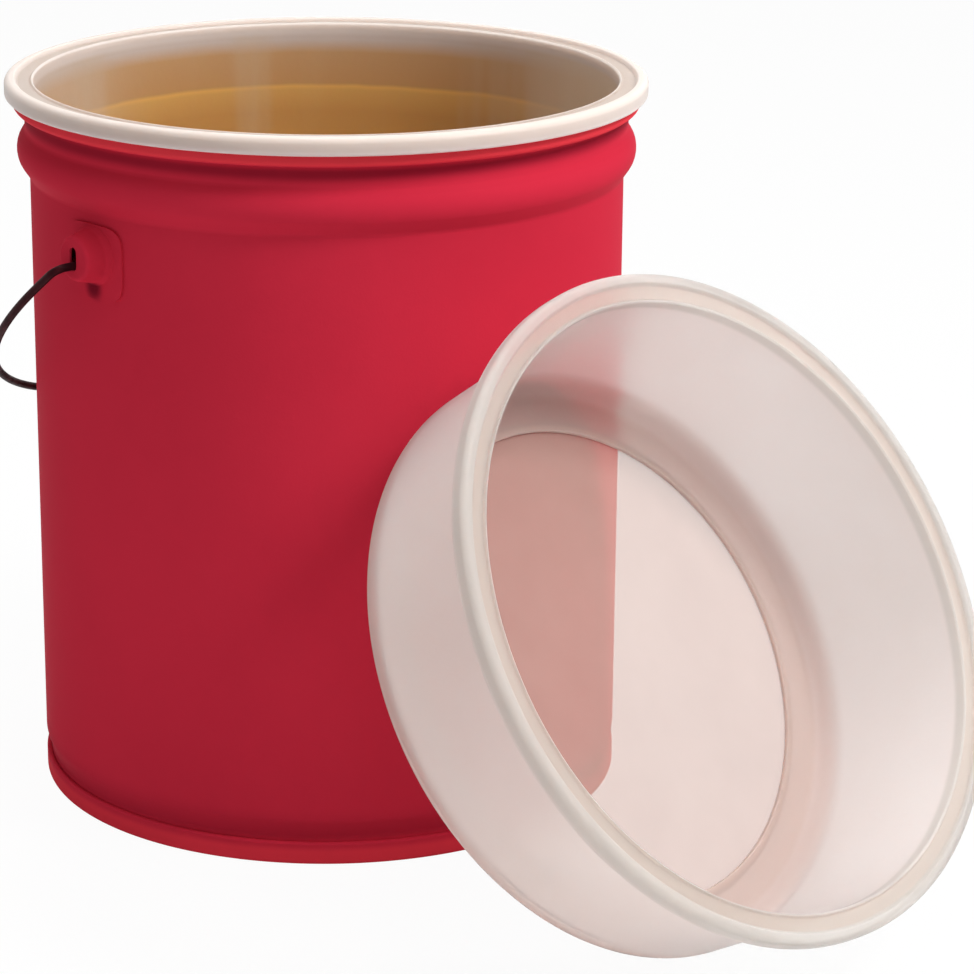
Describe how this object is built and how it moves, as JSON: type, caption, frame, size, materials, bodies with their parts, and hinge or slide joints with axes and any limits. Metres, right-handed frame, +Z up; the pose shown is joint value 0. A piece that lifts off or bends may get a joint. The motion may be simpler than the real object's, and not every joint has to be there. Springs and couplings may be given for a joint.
{
  "type": "filter bucket",
  "caption": "Straight-sided steel pail with a rolled rim, bead, cup ears and wire bail, a drop-in plastic strainer seated in its mouth and a spare strainer leaning on it.",
  "frame": {"origin": "centre of the pail's foot ring, on the surface it stands on", "axes": "+Z up along the pail's axis, X through the two ears, the bail hangs towards +Y and the spare strainer leans on the -Y side"},
  "size_m": [0.3434, 0.5302, 0.3513],
  "materials": {
    "red_paint": "satin",
    "dark_wire": "satin",
    "natural_plastic": "satin translucent",
    "filter_mesh": "fine woven nylon"
  },
  "bodies": {
    "pail": {"pail_body": "red_paint", "pail_bottom": "red_paint", "left_ear": "red_paint", "right_ear": "red_paint"},
    "bail": {"bail": "dark_wire"},
    "seated_strainer": {"seated_strainer_frame": "natural_plastic", "seated_strainer_mesh": "filter_mesh"},
    "spare_strainer": {"spare_strainer_frame": "natural_plastic", "spare_strainer_mesh": "filter_mesh"}
  },
  "joints": [
    {"name": "bail_swing", "type": "hinge", "parent": "pail", "child": "bail", "pos_m": [0, 0, 0.28125], "axis": [1, 0, 0], "range_deg": [0, 210]},
    {"name": "seated_strainer_lift", "type": "slide", "parent": "pail", "child": "seated_strainer", "axis": [0, 0, 1], "range_m": [0, 0.12]},
    {"name": "spare_strainer_away", "type": "slide", "parent": "pail", "child": "spare_strainer", "axis": [0.0542, -0.8388, 0.5417], "range_m": [0, 0.15]}
  ]
}
